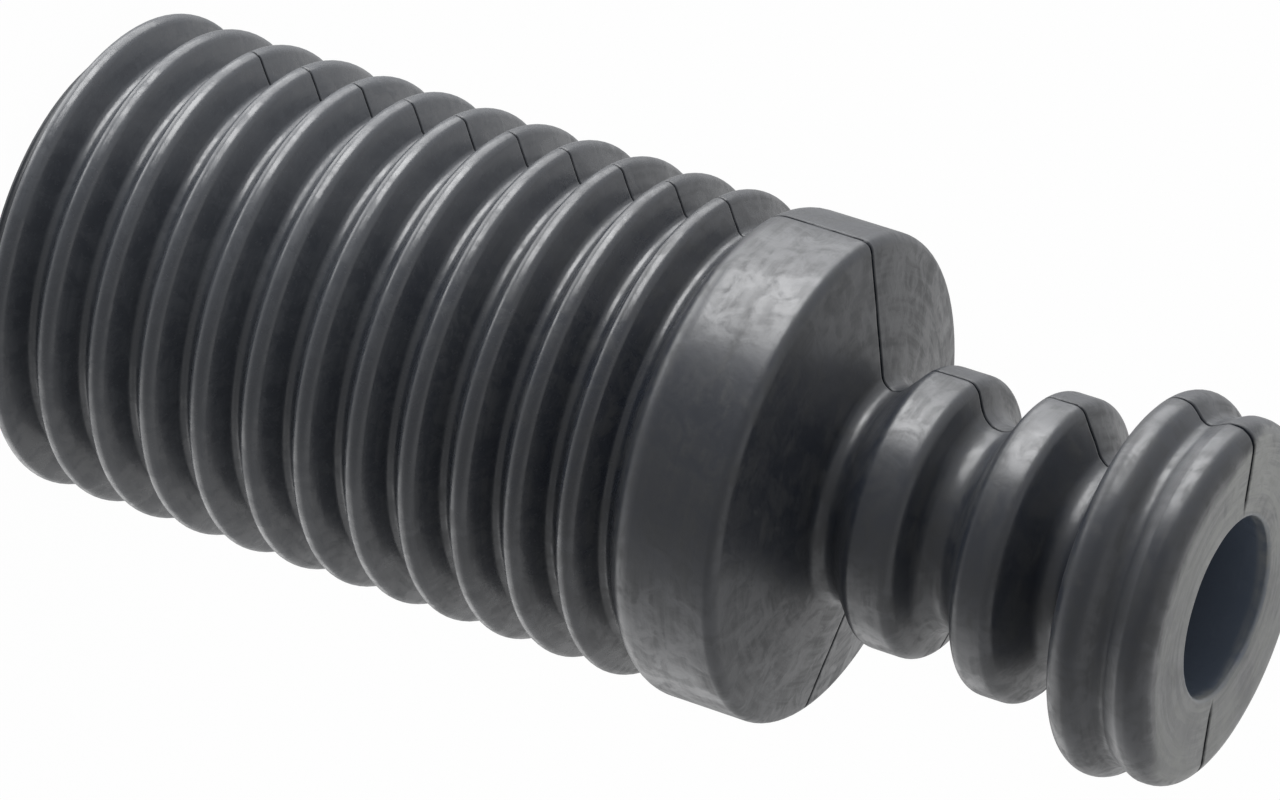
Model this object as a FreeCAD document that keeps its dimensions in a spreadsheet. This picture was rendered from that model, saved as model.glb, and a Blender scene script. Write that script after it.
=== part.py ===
"""Rubber bellows boot of a suspension strut, moulded in one piece.

From the floor up: a drawn-in lip round the wide mouth, a thin folded wall, a hollow
collar, a bump stop with two lobes, and a ribbed ring that seats on the strut's top mount.
Everything is turned about the Z axis. The origin is the centre of the mouth, and Z
points up towards the ring. Lengths are in millimetres.
"""

import FreeCAD, Part
import math
import os

import Sketcher

DOC = FreeCAD.newDocument("bellows_boot")


# Sizes

DRIVING_SIZES = [
    # folded wall
    ("crest_radius", 30.0, "outside of the folds"),
    ("fold_depth", 3.8, "from a crest to the next root, outside"),
    ("fold_pitch", 7.2, "from crest to crest"),
    ("fold_count", 12, "number of folds"),
    ("wall_thickness", 1.4, "rubber of the folded wall, and the rounding of its crests"),
    ("root_round", 1.05, "rounding outside a root"),
    # lip of the mouth
    ("lip_height", 0.8, "from the mouth's edge to the first root"),
    ("lip_draw_in", 0.75, "how far the lip draws in below the first root"),
    # collar
    ("collar_stand_out", 0.2, "how far the collar stands out beyond the folds"),
    ("collar_wall", 2.5, "rubber of the collar"),
    ("shoulder_inner_round", 1.0, "rounding inside the collar's lower shoulder"),
    ("shoulder_rise", 5.3, "from the last root to the shoulder's centre"),
    ("collar_land", 9.7, "straight side of the collar"),
    ("edge_round", 1.7, "rounding of the collar's upper edge"),
    ("edge_inner_round", 1.0, "rounding inside that edge"),
    ("roof_rise", 6.95, "from the upper edge's centre to the first waist"),
    ("entry_drop", 2.66, "from the first waist down to where the rod enters"),
    # bump stop
    ("rod_diameter", 18.0, "strut rod that runs in the bump stop"),
    ("rod_play", 0.4, "clearance on the rod's diameter"),
    ("entry_round", 0.8, "rounding where the rod enters from below"),
    ("low_waist_wall", 4.0, "rubber round the bore between the collar and the lower lobe"),
    ("low_waist_round", 1.8, "rounding of that waist"),
    ("low_lobe_radius", 17.3, "outside of the lower lobe"),
    ("low_lobe_rise", 5.4, "from the first waist to the lower lobe's first edge"),
    ("low_lobe_land", 3.65, "straight side of the lower lobe"),
    ("mid_waist_wall", 3.3, "rubber round the bore between the two lobes"),
    ("mid_waist_round", 2.85, "rounding of that waist"),
    ("mid_waist_rise", 5.05, "from the lower lobe's last edge to the middle waist"),
    ("high_lobe_radius", 18.5, "outside of the upper lobe"),
    ("high_lobe_rise", 6.1, "from the middle waist to the upper lobe's first edge"),
    ("high_lobe_land", 2.6, "straight side of the upper lobe"),
    ("lobe_round", 1.85, "rounding of both lobes' edges"),
    ("neck_wall", 3.1, "rubber round the bore under the ring"),
    ("neck_round", 2.3, "rounding of that waist"),
    ("neck_rise", 5.95, "from the upper lobe's last edge to the neck"),
    # ribbed ring
    ("boss_diameter", 22.0, "boss of the strut mount that the ring takes"),
    ("boss_depth", 12.0, "how deep the boss goes in"),
    ("boss_edge_round", 0.5, "rounding of the ring's inner edge"),
    ("low_rib_radius", 23.25, "outside of the ring's lower rib"),
    ("low_rib_round", 2.8, "rounding of that rib"),
    ("low_rib_rise", 7.05, "from the neck to the lower rib's crest"),
    ("groove_depth", 2.15, "from the lower rib's outside in to the groove's bottom"),
    ("groove_round", 1.6, "rounding of the groove"),
    ("groove_rise", 3.85, "from the lower rib's crest to the groove"),
    ("high_rib_set_back", 1.15, "from the lower rib's outside in to the upper rib's"),
    ("high_rib_round", 1.1, "rounding of that rib beside the groove"),
    ("high_rib_rise", 2.7, "from the groove to the upper rib's first edge"),
    ("high_rib_land", 0.65, "straight side of the upper rib"),
    ("face_round", 2.55, "rounding from the upper rib to the ring's face"),
]


class Size:
    """A length with its number and the expression that gives it in the document."""

    def __init__(self, number, text):
        self.number = number
        self.text = text

    def join(self, other, sign, number):
        other_text = other.text if isinstance(other, Size) else repr(other)
        return Size(number, "(" + self.text + " " + sign + " " + other_text + ")")

    def __add__(self, other):
        return self.join(other, "+", self.number + plain(other))

    def __sub__(self, other):
        return self.join(other, "-", self.number - plain(other))

    def __mul__(self, other):
        return self.join(other, "*", self.number * plain(other))

    def __truediv__(self, other):
        return self.join(other, "/", self.number / plain(other))


def plain(length):
    """The number of a length that may be a Size."""
    return length.number if isinstance(length, Size) else length


def make_sheet():
    """Put the driving sizes in a spreadsheet and return them by name."""
    sheet = DOC.addObject("Spreadsheet::Sheet", "sizes")
    by_name = {}
    for row, (name, number, meaning) in enumerate(DRIVING_SIZES, start=1):
        sheet.set("A%d" % row, meaning)
        sheet.set("B%d" % row, str(number))
        sheet.setAlias("B%d" % row, name)
        by_name[name] = Size(float(number), "sizes." + name)
    DOC.recompute()
    return by_name


# Profiles

class Corner:
    """A sharp corner of a profile at a radius and a height."""

    def __init__(self, radius, height):
        self.across = radius
        self.up = height
        self.rounding = None
        self.turn = 0


class Round:
    """A round of a profile: an arc about a centre, which the profile's lines touch.

    The turn is 1 where a walk along the profile bends left there and -1 where it bends
    right. A level start or end lies beside the centre, at the centre's own height.
    """

    def __init__(self, across, up, rounding, turn, level=None):
        self.across = across
        self.up = up
        self.rounding = rounding
        self.turn = turn
        self.level = level


def bulge(radius, height, rounding, level=None):
    """A round that stands out to a radius, walked from below on the outside."""
    return Round(radius - rounding, height, rounding, 1, level)


def hollow(radius, height, rounding, level=None):
    """A round that dips in to a radius, walked from below on the outside."""
    return Round(radius + rounding, height, rounding, -1, level)


def backwards(stop):
    """The same round, walked from above on the inside of a wall."""
    level = {"start": "end", "end": "start"}.get(stop.level)
    return Round(stop.across, stop.up, stop.rounding, -stop.turn, level)


def offset_inwards(stop, wall):
    """The round that lies one wall further in, about the same centre."""
    return Round(stop.across, stop.up, stop.rounding - wall * stop.turn, stop.turn, stop.level)


def level_point(stop):
    """Where a round's level start or end lies: on its side towards the axis."""
    return complex(plain(stop.across) - plain(stop.rounding), plain(stop.up))


def touch_points(here, after):
    """Where the line between two stops of a profile leaves the first and meets the next."""
    start = complex(plain(here.across), plain(here.up))
    end = complex(plain(after.across), plain(after.up))
    bend_here = here.turn * plain(here.rounding) if here.turn else 0.0
    bend_after = after.turn * plain(after.rounding) if after.turn else 0.0
    if here.turn and here.level == "end":
        start = level_point(here)
        bend_here = 0.0
    if after.turn and after.level == "start":
        end = level_point(after)
        bend_after = 0.0
    gap = end - start
    lean = bend_after - bend_here
    run = math.sqrt(abs(gap) ** 2 - lean ** 2)
    left = gap / complex(run, lean) * 1j
    return start - bend_here * left, end - bend_after * left


def vector(point):
    """A point of the sketch's plane as a vector."""
    return FreeCAD.Vector(point.real, point.imag, 0)


def bind(sketch, constraint, size):
    """Add a constraint and tie its value to a size."""
    index = sketch.addConstraint(constraint)
    if isinstance(size, Size):
        sketch.setExpression("Constraints[%d]" % index, size.text)


def draw_profile(sketch, stops):
    """Draw a closed profile through its stops, anticlockwise, fully constrained."""
    count = len(stops)
    lines = [touch_points(stops[i], stops[(i + 1) % count]) for i in range(count)]
    line_ids = []
    for start, end in lines:
        line_ids.append(sketch.addGeometry(Part.LineSegment(vector(start), vector(end))))

    for i, stop in enumerate(stops):
        line_in = line_ids[i - 1]
        line_out = line_ids[i]
        if not stop.turn:
            sketch.addConstraint(Sketcher.Constraint("Coincident", line_in, 2, line_out, 1))
            bind(sketch, place_constraint("DistanceX", line_out, 1, stop.across), stop.across)
            bind(sketch, place_constraint("DistanceY", line_out, 1, stop.up), stop.up)
            continue
        draw_round(sketch, stop, lines[i - 1][1], lines[i][0], line_in, line_out)


def draw_round(sketch, stop, begin, finish, line_in, line_out):
    """Draw one round between the line that comes in and the line that goes out."""
    centre = complex(plain(stop.across), plain(stop.up))
    angles = [math.atan2((p - centre).imag, (p - centre).real) for p in (begin, finish)]
    begin_end, finish_end = (1, 2) if stop.turn > 0 else (2, 1)
    first, last = angles if stop.turn > 0 else reversed(angles)
    circle = Part.Circle(vector(centre), FreeCAD.Vector(0, 0, 1), plain(stop.rounding))
    arc = sketch.addGeometry(Part.ArcOfCircle(circle, first, last))

    join_in = "Coincident" if stop.level == "start" else "Tangent"
    join_out = "Coincident" if stop.level == "end" else "Tangent"
    sketch.addConstraint(Sketcher.Constraint(join_in, line_in, 2, arc, begin_end))
    sketch.addConstraint(Sketcher.Constraint(join_out, arc, finish_end, line_out, 1))
    if stop.level:
        level_end = begin_end if stop.level == "start" else finish_end
        sketch.addConstraint(Sketcher.Constraint("Horizontal", arc, level_end, arc, 3))

    bind(sketch, place_constraint("DistanceX", arc, 3, stop.across), stop.across)
    bind(sketch, place_constraint("DistanceY", arc, 3, stop.up), stop.up)
    bind(sketch, Sketcher.Constraint("Radius", arc, plain(stop.rounding)), stop.rounding)


def place_constraint(direction, geometry, end, length):
    """A constraint that holds a point at a distance from the sketch's origin."""
    return Sketcher.Constraint(direction, -1, 1, geometry, end, plain(length))


def turned(body, name, stops):
    """Turn a closed profile about the axis and add it to the body."""
    plane = next(f for f in body.Origin.OriginFeatures if f.Role == "XZ_Plane")
    sketch = body.newObject("Sketcher::SketchObject", name + "_profile")
    sketch.AttachmentSupport = [(plane, "")]
    sketch.MapMode = "FlatFace"
    draw_profile(sketch, stops)
    ring = body.newObject("PartDesign::Revolution", name)
    ring.Profile = sketch
    ring.ReferenceAxis = (sketch, ["V_Axis"])
    ring.Angle = 360
    sketch.Visibility = False
    return ring


# The boot

def make_boot(size):
    """Build the boot's body from its sizes."""
    body = DOC.addObject("PartDesign::Body", "boot")
    body.Label = "boot"

    wall = size["wall_thickness"]
    root_radius = size["crest_radius"] - size["fold_depth"]
    first_root = size["lip_height"]
    last_root = first_root + size["fold_pitch"] * size["fold_count"]

    # one fold, from root to root, and its copies
    lower_root = hollow(root_radius, first_root, size["root_round"], "start")
    crest_height = first_root + size["fold_pitch"] / 2
    crest = bulge(size["crest_radius"], crest_height, wall)
    upper_root_height = first_root + size["fold_pitch"]
    upper_root = hollow(root_radius, upper_root_height, size["root_round"], "end")
    fold = turned(body, "fold", [
        lower_root,
        crest,
        upper_root,
        backwards(offset_inwards(upper_root, wall)),
        Corner(size["crest_radius"] - wall, crest_height),
        backwards(offset_inwards(lower_root, wall)),
    ])
    folds = body.newObject("PartDesign::LinearPattern", "folds")
    folds.Originals = [fold]
    upright = next(f for f in body.Origin.OriginFeatures if f.Role == "Z_Axis")
    folds.Direction = (upright, [""])
    folds.setExpression("Length", "sizes.fold_pitch * (sizes.fold_count - 1)")
    folds.setExpression("Occurrences", "sizes.fold_count")
    body.Tip = folds
    DOC.recompute()

    # lip of the mouth
    lip_radius = root_radius - size["lip_draw_in"]
    turned(body, "lip", [
        Corner(lip_radius, 0),
        Corner(root_radius, first_root),
        Corner(root_radius - wall, first_root),
        Corner(lip_radius - wall, 0),
    ])

    # collar: a hollow cup from the last root to the first waist
    collar_radius = size["crest_radius"] + size["collar_stand_out"]
    collar_wall = size["collar_wall"]
    shoulder_height = last_root + size["shoulder_rise"]
    edge_height = shoulder_height + size["collar_land"]
    low_waist_height = edge_height + size["roof_rise"]
    rod_radius = (size["rod_diameter"] + size["rod_play"]) / 2
    low_waist_radius = rod_radius + size["low_waist_wall"]
    last_root_round = hollow(root_radius, last_root, size["root_round"], "start")
    shoulder_round = size["shoulder_inner_round"] + collar_wall
    shoulder = bulge(collar_radius, shoulder_height, shoulder_round)
    inside_edge_height = edge_height + size["edge_round"] - collar_wall
    inside_edge = bulge(
        collar_radius - collar_wall,
        inside_edge_height - size["edge_inner_round"],
        size["edge_inner_round"],
    )
    entry_height = low_waist_height - size["entry_drop"]
    entry_across = rod_radius + size["entry_round"]
    turned(body, "collar", [
        last_root_round,
        shoulder,
        bulge(collar_radius, edge_height, size["edge_round"]),
        hollow(low_waist_radius, low_waist_height, size["low_waist_round"], "end"),
        Corner(rod_radius, low_waist_height),
        Round(entry_across, entry_height, size["entry_round"], 1),
        backwards(inside_edge),
        backwards(offset_inwards(shoulder, collar_wall)),
        backwards(offset_inwards(last_root_round, wall)),
    ])

    # bump stop: two lobes round the rod's bore
    mid_waist_radius = rod_radius + size["mid_waist_wall"]
    neck_radius = rod_radius + size["neck_wall"]
    low_lobe_start = low_waist_height + size["low_lobe_rise"]
    low_lobe_end = low_lobe_start + size["low_lobe_land"]
    mid_waist_height = low_lobe_end + size["mid_waist_rise"]
    high_lobe_start = mid_waist_height + size["high_lobe_rise"]
    high_lobe_end = high_lobe_start + size["high_lobe_land"]
    neck_height = high_lobe_end + size["neck_rise"]
    turned(body, "bump_stop", [
        hollow(low_waist_radius, low_waist_height, size["low_waist_round"], "start"),
        bulge(size["low_lobe_radius"], low_lobe_start, size["lobe_round"]),
        bulge(size["low_lobe_radius"], low_lobe_end, size["lobe_round"]),
        hollow(mid_waist_radius, mid_waist_height, size["mid_waist_round"]),
        bulge(size["high_lobe_radius"], high_lobe_start, size["lobe_round"]),
        bulge(size["high_lobe_radius"], high_lobe_end, size["lobe_round"]),
        hollow(neck_radius, neck_height, size["neck_round"], "end"),
        Corner(rod_radius, neck_height),
        Corner(rod_radius, low_waist_height),
    ])

    # ring: two ribs with a groove between them, and the seat of the mount's boss
    groove_radius = size["low_rib_radius"] - size["groove_depth"]
    high_rib_radius = size["low_rib_radius"] - size["high_rib_set_back"]
    low_rib_height = neck_height + size["low_rib_rise"]
    groove_height = low_rib_height + size["groove_rise"]
    high_rib_start = groove_height + size["high_rib_rise"]
    high_rib_end = high_rib_start + size["high_rib_land"]
    face_height = high_rib_end + size["face_round"]
    boss_radius = size["boss_diameter"] / 2
    seat_height = face_height - size["boss_depth"]
    boss_edge = size["boss_edge_round"]
    turned(body, "ring", [
        hollow(neck_radius, neck_height, size["neck_round"], "start"),
        bulge(size["low_rib_radius"], low_rib_height, size["low_rib_round"]),
        hollow(groove_radius, groove_height, size["groove_round"]),
        bulge(high_rib_radius, high_rib_start, size["high_rib_round"]),
        bulge(high_rib_radius, high_rib_end, size["face_round"]),
        Round(boss_radius + boss_edge, face_height - boss_edge, boss_edge, 1),
        Corner(boss_radius, seat_height),
        Corner(rod_radius, seat_height),
        Corner(rod_radius, neck_height),
    ])
    return body


def check_and_write(body):
    """Stop at any failed feature or bad shape, then write the body's file."""
    DOC.recompute()
    for item in DOC.Objects:
        if "Invalid" in item.State or "Error" in item.State:
            raise RuntimeError(item.Name + " failed: " + str(item.State))
    shape = body.Shape
    if shape.isNull() or not shape.isValid() or len(shape.Solids) != 1:
        raise RuntimeError(body.Label + " is not one sound solid")
    os.makedirs("parts", exist_ok=True)
    shape.exportStep("parts/" + body.Label + ".step")
    print(body.Label, "volume", round(shape.Volume, 1), "mm3, box", shape.optimalBoundingBox())


check_and_write(make_boot(make_sheet()))
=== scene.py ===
"""Rubber bellows boot of a suspension strut: its moulded surface, its finish and a studio.

The boot is one closed surface, turned about the Z axis from the section of the moulding,
with a fine parting line where the two halves of the mould met. Lengths are in metres.
"""

import math

import bpy
import numpy as np
from bpy.props import FloatProperty, FloatVectorProperty, IntProperty, PointerProperty
from mathutils import Matrix, Vector


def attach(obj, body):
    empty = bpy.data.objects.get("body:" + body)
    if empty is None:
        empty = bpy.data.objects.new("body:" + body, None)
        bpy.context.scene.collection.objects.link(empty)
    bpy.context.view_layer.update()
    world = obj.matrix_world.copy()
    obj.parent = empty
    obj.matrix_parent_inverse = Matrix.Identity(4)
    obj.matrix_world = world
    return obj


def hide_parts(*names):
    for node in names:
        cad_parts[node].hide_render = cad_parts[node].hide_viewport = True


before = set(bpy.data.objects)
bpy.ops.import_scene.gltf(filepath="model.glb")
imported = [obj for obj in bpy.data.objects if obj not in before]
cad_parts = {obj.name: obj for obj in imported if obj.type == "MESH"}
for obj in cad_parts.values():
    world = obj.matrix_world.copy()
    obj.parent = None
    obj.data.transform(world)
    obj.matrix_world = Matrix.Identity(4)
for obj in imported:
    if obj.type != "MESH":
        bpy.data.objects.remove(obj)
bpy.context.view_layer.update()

bl_info = {
    "name": "Rubber bellows boot",
    "version": (1, 0, 0),
    "blender": (4, 5, 0),
    "location": "View3D > Sidebar > Boot",
    "description": "Builds a moulded rubber strut boot with its parting line, and a studio",
    "category": "Object",
}

MILLIMETRE = 0.001


# Properties

def length(name, description, millimetres):
    """A length that a user may change."""
    return FloatProperty(
        name=name,
        description=description,
        default=millimetres * MILLIMETRE,
        unit="LENGTH",
        precision=5,
    )


def share(name, description, default):
    """A plain number that a user may change, such as a strength or a share."""
    return FloatProperty(name=name, description=description, default=default, subtype="FACTOR")


def turning(name, description, degrees):
    """An angle that a user may change."""
    return FloatProperty(
        name=name,
        description=description,
        default=math.radians(degrees),
        subtype="ANGLE",
    )


def colour(name, description, default):
    """A colour that a user may change, in linear light."""
    return FloatVectorProperty(
        name=name,
        description=description,
        default=default,
        subtype="COLOR",
        size=3,
        min=0.0,
        max=1.0,
    )


class FoldSizes(bpy.types.PropertyGroup):
    """The folded wall and the lip of the mouth."""

    crest_radius: length("Crest radius", "Outside of the folds", 30.0)
    fold_depth: length("Fold depth", "From a crest to the next root, outside", 3.8)
    fold_pitch: length("Fold pitch", "From crest to crest", 7.2)
    fold_count: IntProperty(name="Folds", description="Number of folds", default=12)
    wall: length("Wall", "Rubber of the folded wall, and the rounding of its crests", 1.4)
    crease: length("Crease", "Rounding inside a crest", 0.12)
    root_round: length("Root rounding", "Rounding outside a root", 1.05)
    lip_height: length("Lip height", "From the mouth's edge to the first root", 0.8)
    lip_draw_in: length("Lip draw-in", "How far the lip draws in below the first root", 0.75)
    lip_round: length("Lip rounding", "Rounding of the mouth's edge", 0.15)
    lip_bend: length("Lip bend", "Rounding where the lip meets the first root", 0.1)


class CollarSizes(bpy.types.PropertyGroup):
    """The hollow collar between the folds and the bump stop."""

    radius: length("Radius", "Outside of the collar", 30.2)
    wall: length("Wall", "Rubber of the collar", 2.5)
    shoulder_round: length("Shoulder rounding", "Rounding of the lower shoulder, inside", 1.0)
    shoulder_rise: length("Shoulder rise", "From the last root to the shoulder's centre", 5.3)
    land: length("Land", "Straight side of the collar", 9.7)
    edge_round: length("Edge rounding", "Rounding of the upper edge", 1.7)
    inner_round: length("Inner rounding", "Rounding inside the upper edge", 1.0)
    roof_rise: length("Roof rise", "From the upper edge's centre to the first waist", 6.95)


class StopSizes(bpy.types.PropertyGroup):
    """The bump stop: two lobes with a waist below, between and above them."""

    bore_radius: length("Bore radius", "Hole that the rod runs in", 9.2)
    entry_round: length("Entry rounding", "Rounding where the rod enters", 0.8)
    entry_drop: length("Entry drop", "From the first waist down to the rod's entry", 2.66)
    low_waist: length("Low waist", "Radius of the waist under the lower lobe", 13.2)
    low_waist_round: length("Low waist rounding", "Rounding of that waist", 1.8)
    low_lobe: length("Low lobe", "Radius of the lower lobe", 17.3)
    low_lobe_rise: length("Low lobe rise", "From the first waist to the lobe's first edge", 5.4)
    low_lobe_land: length("Low lobe land", "Straight side of the lower lobe", 3.65)
    mid_waist: length("Middle waist", "Radius of the waist between the lobes", 12.5)
    mid_waist_round: length("Middle waist rounding", "Rounding of that waist", 2.85)
    mid_waist_rise: length("Middle waist rise", "From the lower lobe's last edge to it", 5.05)
    high_lobe: length("High lobe", "Radius of the upper lobe", 18.5)
    high_lobe_rise: length("High lobe rise", "From the middle waist to its first edge", 6.1)
    high_lobe_land: length("High lobe land", "Straight side of the upper lobe", 2.6)
    lobe_round: length("Lobe rounding", "Rounding of both lobes' edges", 1.85)
    neck: length("Neck", "Radius of the waist under the ring", 12.3)
    neck_round: length("Neck rounding", "Rounding of that waist", 2.3)
    neck_rise: length("Neck rise", "From the upper lobe's last edge to the neck", 5.95)


class RingSizes(bpy.types.PropertyGroup):
    """The ring with two ribs that seats on the strut's mount."""

    seat_radius: length("Seat radius", "Hole that takes the mount's boss", 11.0)
    seat_depth: length("Seat depth", "How deep the boss goes in", 12.0)
    seat_round: length("Seat edge", "Rounding of the hole's edge", 0.5)
    step_round: length("Step edge", "Rounding of the step at the bottom of the seat", 0.2)
    low_rib: length("Low rib", "Radius of the lower rib", 23.25)
    low_rib_round: length("Low rib rounding", "Rounding of that rib", 2.8)
    low_rib_rise: length("Low rib rise", "From the neck to the lower rib's crest", 7.05)
    groove: length("Groove", "Radius at the bottom of the groove", 21.1)
    groove_round: length("Groove rounding", "Rounding of the groove", 1.6)
    groove_rise: length("Groove rise", "From the lower rib's crest to the groove", 3.85)
    high_rib: length("High rib", "Radius of the upper rib", 22.1)
    high_rib_round: length("High rib rounding", "Rounding of that rib at the groove", 1.1)
    high_rib_rise: length("High rib rise", "From the groove to the upper rib's edge", 2.7)
    high_rib_land: length("High rib land", "Straight side of the upper rib", 0.65)
    face_round: length("Face rounding", "From the upper rib to the ring's face", 2.55)


class SurfaceSettings(bpy.types.PropertyGroup):
    """How finely the surface is divided, and its slight unevenness."""

    columns: IntProperty(
        name="Columns", description="Columns of faces in each half of the mould", default=52
    )
    outer_step: turning("Outer step", "Largest turn between two rows of faces on the outside", 9.0)
    inner_step: turning("Inner step", "Largest turn between two rows of faces on the inside", 20.0)
    line_step: length("Line step", "Largest distance between two rows of faces", 2.2)
    waviness: length("Waviness", "How far the soft wall strays from its true round", 0.035)
    settling: length("Settling", "Height above the mouth where the waves are full", 2.0)


class PartingLine(bpy.types.PropertyGroup):
    """The fine groove where the two halves of the mould met."""

    on_folds: length("On the folds", "Half its width there", 0.20)
    on_collar: length("On the collar", "Half its width on the collar", 0.30)
    on_stop: length("On the bump stop", "Half its width there", 0.25)
    on_ring: length("On the ring", "Half its width round the ribs", 0.29)
    on_face: length("On the face", "Half its width across the ring's face", 0.42)
    depth: length("Depth", "Depth of the groove", 0.13)
    wander: length("Wander", "How far the line strays sideways", 0.05)
    start: length("Start", "Height above the mouth where the line begins", 14.7)


class RubberLook(bpy.types.PropertyGroup):
    """The finish of the moulded rubber, with painted light and painted shade in some of its
    colours.
    """

    rubber: colour("Rubber", "Dark blue-grey of the clean rubber", (0.0122, 0.0146, 0.0205))
    bloom: colour("Bloom", "Dull film that rubber sweats out", (0.0235, 0.0253, 0.0285))
    # paler colour of the folds, strongest towards the mouth
    pale_fold_colour: colour("Dust", "Paler tint of the folds", (0.039, 0.043, 0.050))
    # pale colour of the ring's face: partly real scuff marks, partly a painted highlight
    scuffed_and_lit: colour("Scuffed", "Pale scuffs on the ring's face", (0.215, 0.220, 0.212))
    # painted light: the inside of the ring and its bore gets a far paler colour than the rubber,
    # standing in for light in that recess
    bore: colour("Bore", "Paler bluish rubber inside the ring and its bore", (0.085, 0.105, 0.140))
    # painted shade: near-black colour of the parting groove, standing in for the shade in it
    parting: colour("Parting line", "Dark of the parting line", (0.006, 0.007, 0.009))
    bloom_amount: share("Bloom amount", "How much of the film shows", 0.85)
    roughness: share("Roughness", "Roughness of the clean rubber", 0.29)
    bloom_roughness: share("Bloom roughness", "Roughness of the film", 0.48)
    blotch_size: length("Blotch size", "Size of the blotches in the film", 3.2)
    grain_size: length("Grain size", "Size of the fine grain", 0.35)
    wave_height: length("Wave height", "Height of the slow waves in the skin", 0.07)
    grain_height: length("Grain height", "Height of the fine grain", 0.005)
    ring_scale: FloatProperty(
        name="Ring scale", description="Fine rings of the mould per metre", default=1100.0
    )
    ring_drift: length("Ring drift", "How far the rings drift in one radian", 1.2)
    ring_height: length("Ring height", "Height of the fine rings", 0.012)
    speck_height: length("Speck height", "Height of the specks", 0.005)
    gloss: share("Gloss", "Specular level of the clean rubber", 0.65)
    bloom_gloss: share("Bloom gloss", "Specular level of the film", 0.45)
    fold_tint: share("Fold tint", "How much paler the clean rubber of the folds is", 0.55)
    tint_full: length("Tint full", "Height below which the folds are palest", 30.0)
    tint_end: length("Tint end", "Height where the paler tint ends", 90.0)
    folds_end: length("Folds' end", "Height where the gloss of the folds ends", 89.5)
    # painted shade: the mouth's edge is darkened with the parting line's dark colour
    mouth_shade_share: share("Dull share", "How dull the mouth's edge is", 0.55)
    mouth_shade_full: length("Dull full", "Height below which the mouth's edge is dull", 2.8)
    mouth_shade_end: length("Dull end", "Height where the dull edge ends", 3.6)
    # extent of the ring face's pale patch of scuff marks and painted highlight
    scuff_sheen_full: length("Scuff full", "From the flat face out to the end of full scuffs", 0.8)
    scuff_sheen_end: length("Scuff end", "From the flat face out to the last scuffs", 2.6)
    scuff_sheen_drop_full: length("Scuff drop", "Drop below the face with full scuffs", 0.6)
    scuff_sheen_drop_end: length("Scuff drop's end", "Drop below the face of the last scuffs", 2.0)
    scuff_sheen_ragged: length("Scuff raggedness", "How ragged the scuffs' edge is", 2.2)
    # these three shape the painted highlight in the ring face's pale patch: it draws in on the
    # plain side and is strongest on the lamps' side
    plain_margin: length("Clean margin", "How much further in they end on the clean side", 2.6)
    plain_side: turning("Clean side", "Direction where the ring is scuffed least, from +X", 66.0)
    highlight_side: turning("Worn side", "Direction where the ring is scuffed most, from +X", -20.0)


class StudioLook(bpy.types.PropertyGroup):
    """Camera, lamps, floor and background."""

    target: FloatVectorProperty(
        name="Target",
        description="Point that the camera looks at",
        default=(0.01120, 0.02049, 0.08664),
        subtype="TRANSLATION",
        unit="LENGTH",
        size=3,
    )
    distance: length("Distance", "From the camera to the target", 884.9)
    azimuth: turning("Azimuth", "Turn of the camera about the boot's axis, from +X", 66.0)
    elevation: turning("Elevation", "Height of the camera above the floor", 24.203)
    roll: turning("Roll", "Turn of the camera about its own line of sight", 108.0)
    lens: FloatProperty(
        name="Lens",
        description="Focal length in millimetres, on a sensor 36 mm wide",
        default=215.07,
    )
    floor_size: length("Floor size", "Side of the square floor", 6000.0)
    floor: colour("Floor", "Pale floor", (0.82, 0.82, 0.82))
    floor_drop: length("Floor drop", "How far the floor lies below the mouth's edge", 0.05)
    floor_glow: share("Floor glow", "Share of plain white in the floor as seen", 0.98)
    daylight: share("Daylight", "Level of the soft light from all round", 0.62)
    dim_level: share("Dim level", "Level of the dim side of the room, as mirrored", 0.42)
    dim_azimuth: turning("Dim azimuth", "Direction of the dim side of the room, from +X", 75.0)
    dim_from: share("Dim from", "Cosine to the dim side where it begins", 0.25)
    dim_full: share("Dim full", "Cosine to the dim side where it is full", 0.85)
    low_level: share("Low level", "Level below the far side of the floor, as mirrored", 0.65)
    low_azimuth: turning("Low azimuth", "Direction of that far side, from +X", 252.0)
    low_elevation: turning("Low elevation", "Height of that side above the horizon", -38.0)
    low_from: share("Low from", "Cosine to that side where it begins", 0.75)
    low_full: share("Low full", "Cosine to that side where it is full", 0.93)
    key_level: FloatProperty(name="Key", description="Brightness of the tall lamp", default=9.5)
    side_level: FloatProperty(name="Side", description="Brightness beside it", default=3.2)
    under_level: FloatProperty(name="Under", description="Brightness under it", default=3.2)
    fill_level: FloatProperty(name="Fill", description="Brightness of the low lamp", default=1.0)


GROUPS = {
    "boot_folds": FoldSizes,
    "boot_collar": CollarSizes,
    "boot_stop": StopSizes,
    "boot_ring": RingSizes,
    "boot_surface": SurfaceSettings,
    "boot_parting": PartingLine,
    "boot_rubber": RubberLook,
    "boot_studio": StudioLook,
}


# Section of the moulding

COLLAR_ROUNDS = 2
STOP_ROUNDS = 7
RING_ROUNDS = 4


def bulge(radius, height, rounding):
    """A round that stands out to a radius: across, up, rounding, turn to the left."""
    return (radius - rounding, height, rounding, 1)


def hollow(radius, height, rounding):
    """A round that dips in to a radius: across, up, rounding, turn to the right."""
    return (radius + rounding, height, rounding, -1)


def inner(stop, wall):
    """The round about the same centre on the wall's other side, walked back down."""
    across, up, rounding, turn = stop
    return (across, up, rounding - wall * turn, -turn)


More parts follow.
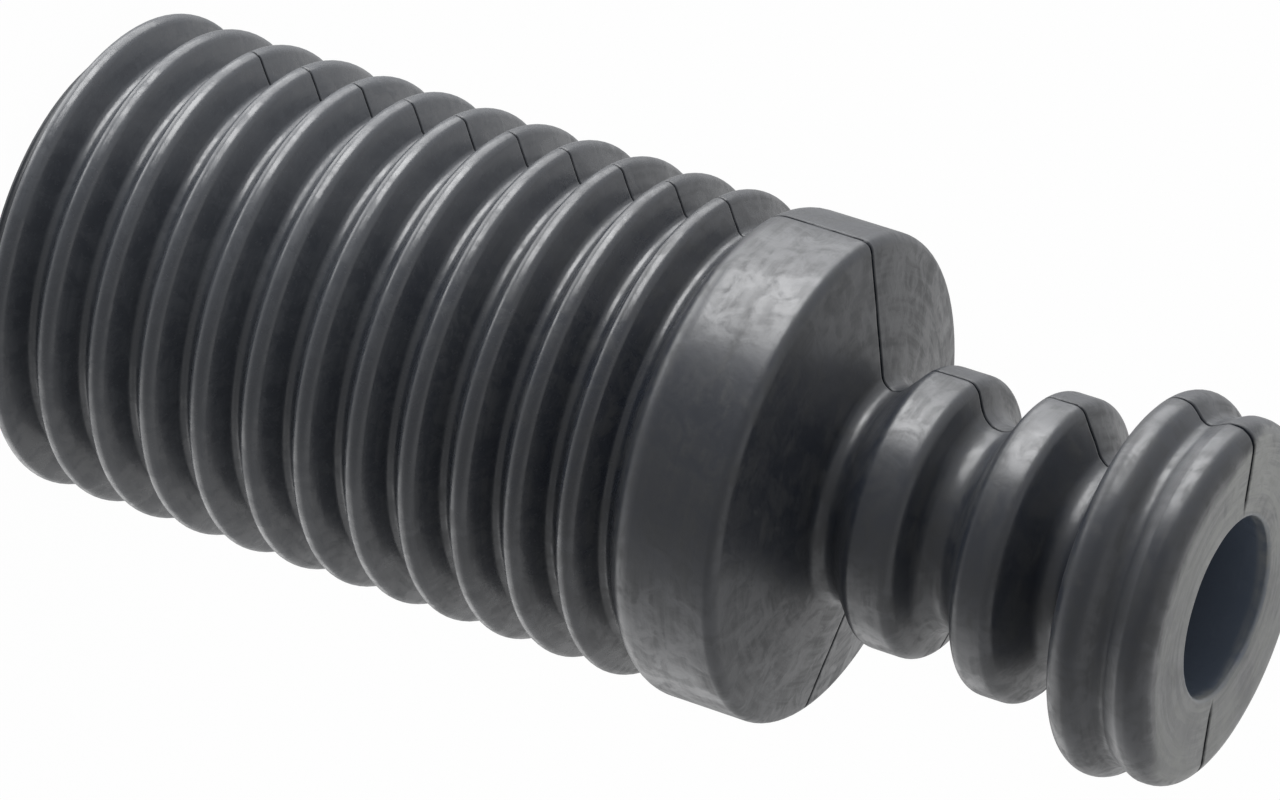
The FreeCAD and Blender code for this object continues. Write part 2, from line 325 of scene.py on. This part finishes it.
def section_stops(folds, collar, stop, ring):
    """The rounds of the closed section, walked up the outside and back down the inside.

    The outside ends with COLLAR_ROUNDS of the collar, STOP_ROUNDS of the bump stop and
    RING_ROUNDS of the ring.
    """
    root_radius = folds.crest_radius - folds.fold_depth
    roots = [
        hollow(root_radius, folds.lip_height + folds.fold_pitch * k, folds.root_round)
        for k in range(folds.fold_count + 1)
    ]
    crests = [
        bulge(folds.crest_radius, folds.lip_height + folds.fold_pitch * (k + 0.5), folds.wall)
        for k in range(folds.fold_count)
    ]
    lip_radius = root_radius - folds.lip_draw_in
    lip = bulge(lip_radius, folds.lip_round, folds.lip_round)
    bend_height = folds.lip_height - folds.lip_bend / 2
    bend = bulge(root_radius, bend_height, folds.lip_bend)
    folded_outside = [lip, bend] + [s for pair in zip(roots, crests) for s in pair] + [roots[-1]]

    shoulder_height = roots[-1][1] + collar.shoulder_rise
    edge_height = shoulder_height + collar.land
    low_waist_height = edge_height + collar.roof_rise
    shoulder_round = collar.shoulder_round + collar.wall
    shoulder = bulge(collar.radius, shoulder_height, shoulder_round)
    collar_outside = [shoulder, bulge(collar.radius, edge_height, collar.edge_round)]

    low_lobe_height = low_waist_height + stop.low_lobe_rise
    low_lobe_end = low_lobe_height + stop.low_lobe_land
    mid_waist_height = low_lobe_end + stop.mid_waist_rise
    high_lobe_height = mid_waist_height + stop.high_lobe_rise
    high_lobe_end = high_lobe_height + stop.high_lobe_land
    neck_height = high_lobe_end + stop.neck_rise
    stop_outside = [
        hollow(stop.low_waist, low_waist_height, stop.low_waist_round),
        bulge(stop.low_lobe, low_lobe_height, stop.lobe_round),
        bulge(stop.low_lobe, low_lobe_end, stop.lobe_round),
        hollow(stop.mid_waist, mid_waist_height, stop.mid_waist_round),
        bulge(stop.high_lobe, high_lobe_height, stop.lobe_round),
        bulge(stop.high_lobe, high_lobe_end, stop.lobe_round),
        hollow(stop.neck, neck_height, stop.neck_round),
    ]

    low_rib_height = neck_height + ring.low_rib_rise
    groove_height = low_rib_height + ring.groove_rise
    high_rib_height = groove_height + ring.high_rib_rise
    high_rib_end = high_rib_height + ring.high_rib_land
    face_height = high_rib_end + ring.face_round
    ring_outside = [
        bulge(ring.low_rib, low_rib_height, ring.low_rib_round),
        hollow(ring.groove, groove_height, ring.groove_round),
        bulge(ring.high_rib, high_rib_height, ring.high_rib_round),
        bulge(ring.high_rib, high_rib_end, ring.face_round),
    ]
    outside = folded_outside + collar_outside + stop_outside + ring_outside

    seat_floor = face_height - ring.seat_depth
    edge = ring.seat_round
    step = ring.step_round
    inside = [
        (ring.seat_radius + edge, face_height - edge, edge, 1),
        (ring.seat_radius - step, seat_floor + step, step, -1),
        (stop.bore_radius + step, seat_floor - step, step, 1),
        (
            stop.bore_radius + stop.entry_round,
            low_waist_height - stop.entry_drop,
            stop.entry_round,
            1,
        ),
        (
            collar.radius - collar.wall - collar.inner_round,
            edge_height + collar.edge_round - collar.wall - collar.inner_round,
            collar.inner_round,
            -1,
        ),
        inner(shoulder, collar.wall),
        inner(roots[-1], folds.wall),
    ]
    for crest, root in zip(reversed(crests), reversed(roots[:-1])):
        inside.append((*crest[:2], folds.crease, -1))
        inside.append(inner(root, folds.wall))
    inner_root = root_radius - folds.wall
    inside.append((inner_root - folds.lip_bend, bend_height, folds.lip_bend, -1))
    inside.append((lip_radius - folds.wall + folds.lip_round, folds.lip_round, folds.lip_round, 1))
    return outside, inside


def walk_section(stops, arc_steps, line_step):
    """Points along a closed chain of rounds and the outward normal at each.

    A line that touches both rounds joins each round to the next. With the gap g between
    two centres and the difference b of their signed roundings, its direction is
    g / (sqrt(|g|^2 - b^2) + i b), and a round is met at its centre minus the signed
    rounding times that direction turned left. Points are complex numbers, across + i up.
    """
    centre = np.array([complex(s[0], s[1]) for s in stops])
    bend = np.array([s[2] * s[3] for s in stops])
    gap = np.roll(centre, -1) - centre
    lean = np.roll(bend, -1) - bend
    ahead = gap / (np.sqrt(np.abs(gap) ** 2 - lean**2) + 1j * lean)
    behind = np.roll(ahead, 1)
    turn = np.angle(ahead / behind)
    leave = centre - bend * 1j * ahead
    meet = np.roll(centre - bend * 1j * behind, -1)

    points = []
    normals = []
    owners = []
    for k in range(len(stops)):
        steps = max(2, math.ceil(abs(turn[k]) / arc_steps[k]))
        heading = behind[k] * np.exp(1j * turn[k] * np.linspace(0, 1, steps + 1))
        points.append(centre[k] - bend[k] * 1j * heading)
        normals.append(-1j * heading)
        run = abs(meet[k] - leave[k])
        parts = max(1, math.ceil(run / line_step))
        between = np.linspace(0, 1, parts + 1)[1:-1]
        points.append(leave[k] + (meet[k] - leave[k]) * between)
        normals.append(np.full(parts - 1, -1j * ahead[k]))
        owners.append(np.full(steps + parts, k))
    return np.concatenate(points), np.concatenate(normals), np.concatenate(owners)


def unevenness(height, angle, size):
    """How far the soft wall stands off its true round.

    Five slow waves round the boot, each sin(m angle + 2 pi k height + phase), weighted so
    that their sum stays within the size given.
    """
    waves = np.array([
        # turns, waves per metre, phase, weight
        [2, 9.0, 0.7, 0.34],
        [3, 31.0, 2.1, 0.22],
        [5, -47.0, 4.0, 0.16],
        [7, 88.0, 1.3, 0.16],
        [11, 151.0, 5.2, 0.12],
    ])
    turns, pitch, phase, weight = waves.T[:, :, None, None]
    return size * (weight * np.sin(turns * angle + 2 * np.pi * pitch * height + phase)).sum(0)


def parting_widths(stops, outside_count, owners, parting):
    """Half the parting line's width at each row, and nothing on the inside."""
    ring = outside_count - RING_ROUNDS
    stop = ring - STOP_ROUNDS
    collar = stop - COLLAR_ROUNDS
    index = np.arange(len(stops))
    zones = [index < collar, index < stop, index < ring, index < outside_count - 1]
    widths = [parting.on_folds, parting.on_collar, parting.on_stop, parting.on_ring]
    by_stop = np.select(zones, widths, parting.on_face) * (index < outside_count)
    return by_stop[owners]


def turned_surface(points, normals, widths, surface, parting):
    """Grid of a section turned about Z, with a parting groove at angle 0 and at half a turn.

    Column j of row i stands at the angle pi t_j + (s_j w_i + d_i) / r_i, so the groove
    keeps its half width w at every radius r, and strays by d. Here t counts half turns and
    s is the place beside the groove in half widths. The surface moves along its
    normal by the groove's depth and by the soft wall's slight waves, which fade at the
    mouth. The groove begins at a height above the mouth.
    """
    # half of the groove's cut: place in half widths, then depth and darkness as shares; the
    # darkness is painted shade in the groove
    across = np.array([0.0, 0.45, 1.0, 1.8])
    sunk = np.array([1.0, 0.85, 0.0, 0.0])
    dark = np.array([1.0, 1.0, 0.25, 0.0])
    plain = np.linspace(0, 1, surface.columns + 1)[1:-1]
    half_turn = np.concatenate([np.zeros(len(across)), plain, np.ones(len(across) - 1)])
    sideways = np.concatenate([across, across[-1] * (1 - 2 * plain), -across[:0:-1]])
    sink = np.concatenate([sunk, 0 * plain, sunk[:0:-1]])
    tint = np.concatenate([dark, 0 * plain, dark[:0:-1]])
    half_turn = np.concatenate([half_turn, half_turn + 1])
    sideways, sink, tint = (np.tile(a, 2) for a in (sideways, sink, tint))

    radius = points.real[:, None]
    height = points.imag[:, None]
    width = np.maximum(widths, parting.on_folds)[:, None]
    outside = (widths > 0)[:, None]
    # the line strays in three waves of the length run along the section
    run = np.cumsum(np.abs(np.diff(points, prepend=points[:1])))[:, None]
    stray = np.sin(run * 700) * np.sin(run * 1900 + 1) + 0.5 * np.sin(run * 5100 + 2)
    stray = parting.wander * stray * np.abs(np.cos(np.pi * half_turn)) ** 8
    angle = np.pi * half_turn + (sideways * width + stray) / radius
    settled = np.clip(height / surface.settling, 0, 1)
    lined = outside * np.clip((height - parting.start) / MILLIMETRE, 0, 1)
    off = settled * unevenness(height, angle, surface.waviness) - lined * sink * parting.depth
    moved_radius = radius + off * normals.real[:, None]
    moved_height = height + off * normals.imag[:, None]
    place = np.stack(
        [moved_radius * np.cos(angle), moved_radius * np.sin(angle), moved_height], axis=-1
    )
    return place, lined * tint


def mesh_from_grid(name, place):
    """A mesh of the grid's quads, closed both ways, with smooth faces."""
    rows, columns = place.shape[:2]
    index = np.arange(rows * columns).reshape(rows, columns)
    right = np.roll(index, -1, axis=1)
    quads = np.stack(
        [index, right, np.roll(right, -1, axis=0), np.roll(index, -1, axis=0)], axis=-1
    ).reshape(-1, 4)
    mesh = bpy.data.meshes.new(name)
    mesh.vertices.add(rows * columns)
    mesh.vertices.foreach_set("co", place.reshape(-1).astype(np.float32))
    mesh.loops.add(quads.size)
    mesh.loops.foreach_set("vertex_index", quads.reshape(-1).astype(np.int32))
    mesh.polygons.add(len(quads))
    mesh.polygons.foreach_set("loop_start", (np.arange(len(quads)) * 4).astype(np.int32))
    mesh.polygons.foreach_set("use_smooth", np.ones(len(quads), bool))
    mesh.update(calc_edges=True)
    mesh.validate()
    return mesh


def add_object(name, data):
    """Put new data in the scene under a name."""
    added = bpy.data.objects.new(name, data)
    bpy.context.scene.collection.objects.link(added)
    return added


# Shader maths

class Field:
    """A socket of a node tree with arithmetic: an expression adds its Math nodes."""

    def __init__(self, tree, socket):
        self.tree = tree
        self.socket = socket

    def maths(self, operation, *others):
        """A Math node with this field as its first value."""
        return self.tree.maths(operation, self, *others)

    def __add__(self, other):
        return self.maths("ADD", other)

    def __sub__(self, other):
        return self.maths("SUBTRACT", other)

    def __rsub__(self, other):
        return self.tree.maths("SUBTRACT", other, self)

    def __mul__(self, other):
        return self.maths("MULTIPLY", other)

    def __truediv__(self, other):
        return self.maths("DIVIDE", other)

    __radd__ = __add__
    __rmul__ = __mul__

    def turned_into(self, low, high, to_low=0.0, to_high=1.0):
        """A smooth step from one value to another as the field goes from low to high."""
        settings = {"interpolation_type": "SMOOTHSTEP"}
        return self.tree.node(
            "ShaderNodeMapRange", settings, {0: self, 1: low, 2: high, 3: to_low, 4: to_high}
        )


class ShaderTree:
    """The node tree of a material, lamp or world, emptied and ready for new nodes."""

    def __init__(self, owner):
        owner.use_nodes = True
        self.nodes = owner.node_tree.nodes
        self.links = owner.node_tree.links
        self.nodes.clear()

    def node(self, kind, settings=None, inputs=None, output=0):
        """Add a node: its settings first, then the values or links of its sockets."""
        added = self.nodes.new(kind)
        for name, value in (settings or {}).items():
            setattr(added, name, value)
        for name, value in (inputs or {}).items():
            if isinstance(value, Field):
                self.links.new(value.socket, added.inputs[name])
            else:
                added.inputs[name].default_value = value
        return Field(self, added.outputs[output]) if len(added.outputs) else added

    def maths(self, operation, *values):
        """A Math node of numbers and fields."""
        return self.node("ShaderNodeMath", {"operation": operation}, dict(enumerate(values)))

    def noise(self, vector, scale, detail, roughness, distortion=0.0):
        """Noise between 0 and 1 at a scale of so many features per unit."""
        inputs = {
            "Vector": vector,
            "Scale": scale,
            "Detail": detail,
            "Roughness": roughness,
            "Distortion": distortion,
        }
        return self.node("ShaderNodeTexNoise", None, inputs)

    def blend(self, factor, first, second):
        """A colour between two colours."""
        settings = {"data_type": "RGBA"}
        return self.node("ShaderNodeMix", settings, {0: factor, 6: first, 7: second}, output=2)

    def join(self, x, y, z):
        """A vector of three fields."""
        return self.node("ShaderNodeCombineXYZ", None, {0: x, 1: y, 2: z})


def opaque(rgb):
    """A colour with its alpha."""
    return (*rgb, 1.0)


def rubber_material(look, face_height, face_radius, seat_radius):
    """Satin moulded rubber.

    Clean glossy rubber shows through a matt film that lies in blotches and in fine rings,
    which the turned mould left. The folds are glossier and get paler towards the mouth,
    whose edge is painted darker as painted shade. Inside the ring and its bore the colour is
    painted paler and bluish as painted light. The ring's face has pale scuff marks with a
    painted highlight in them, brightest on the lamps' side, and the parting groove is
    painted dark and matt as painted shade.
    """
    material = bpy.data.materials.new("black_rubber")
    tree = ShaderTree(material)
    place = tree.node("ShaderNodeTexCoord", output="Object")
    x, y, z = (tree.node("ShaderNodeSeparateXYZ", None, {0: place}, output=k) for k in range(3))
    radius = (x * x + y * y).maths("SQRT")
    angle = y.maths("ARCTAN2", x)

    def cosine_to(azimuth):
        """Cosine of the angle between a point's direction and an azimuth."""
        return (x * math.cos(azimuth) + y * math.sin(azimuth)) / radius

    # patterns
    blotches = tree.noise(place, 1 / look.blotch_size, 6.0, 0.66, 0.6)
    swells = tree.noise(place, 1 / look.blotch_size, 2.0, 0.55, 0.6)
    patches = tree.noise(place, 0.3 / look.blotch_size, 3.0, 0.55, 0.4)
    specks = tree.noise(place, 0.4 / look.grain_size, 3.0, 0.6)
    grain = tree.noise(place, 1 / look.grain_size, 2.0, 0.5)
    unrolled = tree.join(radius, angle * look.ring_drift, z)
    rings = tree.noise(unrolled, look.ring_scale, 3.0, 0.6)
    parting = tree.node("ShaderNodeAttribute", {"attribute_name": "parting"}, output="Fac")

    # film: mostly blotches, partly wide patches, broken up by the rings
    film = blotches.turned_into(0.40, 0.60) * 0.7 + patches.turned_into(0.40, 0.62) * 0.3
    film = film * (0.6 + 0.8 * rings.turned_into(0.3, 0.7))
    film = (film * look.bloom_amount).maths("MINIMUM", 1.0)

    # pale patch on the ring's face, partly real scuff marks and partly painted highlight, with a
    # ragged edge that draws in on the plain side
    margin = cosine_to(look.plain_side).turned_into(0.15, 0.75) * look.plain_margin
    edge = radius + margin + (blotches - 0.5) * look.scuff_sheen_ragged
    scuffs_and_sheen = edge.turned_into(face_radius + look.scuff_sheen_end, face_radius + look.scuff_sheen_full)
    lowest, full = face_height - look.scuff_sheen_drop_end, face_height - look.scuff_sheen_drop_full
    scuffs_and_sheen = scuffs_and_sheen * z.turned_into(lowest, full)
    mottle = (blotches - 0.5) * 1.8 + (patches - 0.5) * 1.6
    scuffs_and_sheen = scuffs_and_sheen * (0.38 + rings.turned_into(0.38, 0.62) * 0.34 + mottle)
    # painted highlight: the pale patch is brighter towards the lamps' side of the ring
    scuffs_and_sheen = scuffs_and_sheen * (0.95 + cosine_to(look.highlight_side).turned_into(0.2, 1.0) * 0.45)

    # painted shade in the parting groove and at the mouth's edge, paler and glossier folds, and
    # painted light that makes the inside of the ring paler
    line = parting * (0.75 + 0.25 * blotches.turned_into(0.35, 0.5))
    # painted shade: darkens the mouth's edge
    mouth = z.turned_into(look.mouth_shade_end, look.mouth_shade_full) * look.mouth_shade_share
    shaded = line.maths("MAXIMUM", mouth)
    # the folds grow paler towards the mouth
    towards_mouth = z.turned_into(look.tint_end, look.tint_full)
    folded = z.turned_into(look.folds_end + MILLIMETRE, look.folds_end - MILLIMETRE)
    # painted light: mask for the far paler colour inside the ring and its bore
    within = radius.turned_into(seat_radius + 0.6 * MILLIMETRE, seat_radius + 0.1 * MILLIMETRE)
    roughness = (specks - 0.5) * 0.12 + (0.04 - folded * 0.07)

    # finishes
    relief = [
        (rings, look.ring_height),
        (specks, look.speck_height),
        (grain, look.grain_height),
        (swells * 0.6 + patches, look.wave_height),
    ]
    millimetres = sum(pattern * (height / MILLIMETRE) for pattern, height in relief)
    bump = tree.node(
        "ShaderNodeBump", None, {"Strength": 1.0, "Distance": MILLIMETRE, "Height": millimetres}
    )
    clean_colour_and_bore_light = tree.blend(towards_mouth * look.fold_tint, opaque(look.rubber), opaque(look.pale_fold_colour))
    clean_colour_and_bore_light = tree.blend(within, clean_colour_and_bore_light, opaque(look.bore))
    film_colour_and_bore_light = tree.blend(towards_mouth, opaque(look.bloom), opaque(look.pale_fold_colour))
    film_colour_and_bore_light = tree.blend(within, film_colour_and_bore_light, opaque(look.bore))
    glossy = tree.node("ShaderNodeBsdfPrincipled", None, {
        "Base Color": tree.blend(scuffs_and_sheen, clean_colour_and_bore_light, opaque(look.scuffed_and_lit)),
        "Roughness": roughness + look.roughness,
        "IOR": 1.5,
        "Specular IOR Level": look.gloss,
        "Normal": bump,
    })
    bloomed = tree.node("ShaderNodeBsdfPrincipled", None, {
        "Base Color": tree.blend(scuffs_and_sheen, film_colour_and_bore_light, opaque(look.scuffed_and_lit)),
        "Roughness": roughness + look.bloom_roughness,
        "IOR": 1.5,
        "Specular IOR Level": look.bloom_gloss,
        "Normal": bump,
    })
    skin = tree.node("ShaderNodeMixShader", None, {0: film, 1: glossy, 2: bloomed})
    # painted shade: this near-black matt shader darkens the parting groove and the mouth's edge
    painted_shade_bsdf = tree.node("ShaderNodeBsdfDiffuse", None, {"Color": opaque(look.parting)})
    surface = tree.node("ShaderNodeMixShader", None, {0: shaded, 1: skin, 2: painted_shade_bsdf})
    tree.node("ShaderNodeOutputMaterial", None, {"Surface": surface})
    return material


# Studio

BOOT_MIDDLE = Vector((0, 0, 0.08))

LAMPS = (
    # name, azimuth and elevation in degrees, distance, width, height, property of the level
    ("tall_lamp", (-2, -12), 0.9, 0.69, 0.70, "key_level"),
    ("side_lamp", (-42, -18), 1.1, 0.52, 0.95, "side_level"),
    ("under_lamp", (-24, -62), 1.1, 0.85, 0.75, "under_level"),
    ("low_lamp", (180, -40), 1.1, 1.40, 0.90, "fill_level"),
)


def direction(azimuth, elevation):
    """Unit vector at an azimuth from +X and an elevation above the floor."""
    return Vector((
        math.cos(azimuth) * math.cos(elevation),
        math.sin(azimuth) * math.cos(elevation),
        math.sin(elevation),
    ))


def floor_material(look):
    """Pale floor that the camera sees nearly white, and on which a soft shadow stays."""
    material = bpy.data.materials.new("pale_floor")
    tree = ShaderTree(material)
    seen = tree.node("ShaderNodeLightPath", output="Is Camera Ray")
    matt = tree.node("ShaderNodeBsdfDiffuse", None, {"Color": opaque(look.floor)})
    white = tree.node("ShaderNodeEmission", None, {"Color": (1, 1, 1, 1), "Strength": 1.0})
    mixed = tree.node("ShaderNodeMixShader", None, {0: seen * look.floor_glow, 1: matt, 2: white})
    tree.node("ShaderNodeOutputMaterial", None, {"Surface": mixed})
    return material


def paint_world(look):
    """Daylight from all round, and plain white where the background or its mirror is seen.

    One side of the room and the low far side are dimmer where they are mirrored: the level
    falls smoothly with the cosine between the direction and the middle of that side.
    """
    world = bpy.data.worlds.new("studio")
    bpy.context.scene.world = world
    tree = ShaderTree(world)
    camera = tree.node("ShaderNodeLightPath", output="Is Camera Ray")
    glossy = tree.node("ShaderNodeLightPath", output="Is Glossy Ray")
    through = tree.node("ShaderNodeLightPath", output="Is Transmission Ray")
    toward = tree.node("ShaderNodeTexCoord", output="Generated")
    dim = direction(look.dim_azimuth, 0.0)
    low = direction(look.low_azimuth, look.low_elevation)
    dot = {"operation": "DOT_PRODUCT"}
    to_dim = tree.node("ShaderNodeVectorMath", dot, {0: toward, 1: dim}, output="Value")
    to_low = tree.node("ShaderNodeVectorMath", dot, {0: toward, 1: low}, output="Value")
    mirrored = to_dim.turned_into(look.dim_from, look.dim_full, 1.0, look.dim_level)
    mirrored = mirrored * to_low.turned_into(look.low_from, look.low_full, 1.0, look.low_level)
    white = camera.maths("MAXIMUM", through)
    shine = white.maths("MAXIMUM", glossy * mirrored)
    matt = (1 - white.maths("MAXIMUM", glossy)) * look.daylight
    light = tree.node(
        "ShaderNodeBackground", None, {"Color": (1, 1, 1, 1), "Strength": shine + matt}
    )
    tree.node("ShaderNodeOutputWorld", None, {"Surface": light})


def panel_lamp(name, toward, distance, width, height, level):
    """A soft rectangular lamp that faces the boot's middle.

    The direction is an azimuth from +X and an elevation in degrees. The power is the
    level times pi times the panel's area, so the level is what a mirror would show.
    """
    lamp = bpy.data.lights.new(name, "AREA")
    lamp.shape = "RECTANGLE"
    lamp.size = width
    lamp.size_y = height
    lamp.energy = level * math.pi * width * height
    back = direction(*(math.radians(a) for a in toward))
    side = Vector((0, 0, 1)).cross(back).normalized()
    turned = Matrix((side, back.cross(side), back)).transposed().to_4x4()
    added = add_object(name, lamp)
    added.matrix_world = Matrix.Translation(BOOT_MIDDLE + back * distance) @ turned
    added.visible_camera = False


def aim_camera(look):
    """Camera at an azimuth, elevation and roll, looking at its target from a distance."""
    back = direction(look.azimuth, look.elevation)
    level = Vector((0, 0, 1)).cross(back).normalized()
    upright = back.cross(level)
    right = level * math.cos(look.roll) + upright * math.sin(look.roll)
    up = back.cross(right)
    lens = bpy.data.cameras.new("camera")
    lens.lens = look.lens
    lens.sensor_width = 36.0
    lens.clip_start = 0.05
    lens.clip_end = 20.0
    camera = add_object("camera", lens)
    turned = Matrix((right, up, back)).transposed().to_4x4()
    camera.matrix_world = Matrix.Translation(Vector(look.target) + back * look.distance) @ turned
    bpy.context.scene.camera = camera


# Operators and panel

class BOOT_OT_rubber(bpy.types.Operator):
    """Build the moulded boot with its parting line and its rubber"""

    bl_idname = "boot.rubber"
    bl_label = "Moulded boot"

    def execute(self, context):
        scene = context.scene
        surface = scene.boot_surface
        outside, inside = section_stops(
            scene.boot_folds, scene.boot_collar, scene.boot_stop, scene.boot_ring
        )
        stops = outside + inside
        arc_steps = [surface.outer_step] * len(outside) + [surface.inner_step] * len(inside)
        points, normals, owners = walk_section(stops, arc_steps, surface.line_step)
        widths = parting_widths(stops, len(outside), owners, scene.boot_parting)
        place, line = turned_surface(points, normals, widths, surface, scene.boot_parting)
        mesh = mesh_from_grid("boot_rubber", place)
        # the parting attribute holds how much painted shade the groove gets
        attribute = mesh.attributes.new("parting", "FLOAT", "POINT")
        attribute.data.foreach_set("value", line.reshape(-1).astype(np.float32))
        boot = add_object("boot_rubber", mesh)
        face_height = points.imag.max()
        ring = scene.boot_ring
        face_radius = ring.high_rib - ring.face_round
        rubber = rubber_material(scene.boot_rubber, face_height, face_radius, ring.seat_radius)
        mesh.materials.append(rubber)
        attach(boot, "root")
        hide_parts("boot")
        return {"FINISHED"}


class BOOT_OT_studio(bpy.types.Operator):
    """Build the floor, the lamps, the background and the camera"""

    bl_idname = "boot.studio"
    bl_label = "Studio"

    def execute(self, context):
        look = context.scene.boot_studio
        half = look.floor_size / 2
        low = -look.floor_drop
        corners = [(-half, -half, low), (half, -half, low), (half, half, low), (-half, half, low)]
        mesh = bpy.data.meshes.new("floor")
        mesh.from_pydata(corners, [], [(0, 1, 2, 3)])
        mesh.materials.append(floor_material(look))
        floor = add_object("floor", mesh)
        floor.visible_shadow = False
        floor.visible_glossy = False
        paint_world(look)
        for name, toward, distance, width, height, level in LAMPS:
            panel_lamp(name, toward, distance, width, height, getattr(look, level))
        aim_camera(look)
        context.scene.view_settings.view_transform = "Standard"
        return {"FINISHED"}


class BOOT_PT_panel(bpy.types.Panel):
    """Sizes and looks of the boot"""

    bl_label = "Bellows boot"
    bl_idname = "BOOT_PT_panel"
    bl_space_type = "VIEW_3D"
    bl_region_type = "UI"
    bl_category = "Boot"

    def draw(self, context):
        for operator in (BOOT_OT_rubber, BOOT_OT_studio):
            self.layout.operator(operator.bl_idname)
        for group_name, group in GROUPS.items():
            box = self.layout.box()
            box.label(text=group_name.replace("_", " "))
            for name in group.__annotations__:
                box.prop(getattr(context.scene, group_name), name)


CLASSES = (*GROUPS.values(), BOOT_OT_rubber, BOOT_OT_studio, BOOT_PT_panel)


def register():
    for cls in CLASSES:
        bpy.utils.register_class(cls)
    for name, group in GROUPS.items():
        setattr(bpy.types.Scene, name, PointerProperty(type=group))


def unregister():
    for name in GROUPS:
        delattr(bpy.types.Scene, name)
    for cls in reversed(CLASSES):
        bpy.utils.unregister_class(cls)


def main():
    register()
    bpy.ops.boot.rubber()
    bpy.ops.boot.studio()


if __name__ == "__main__":
    main()
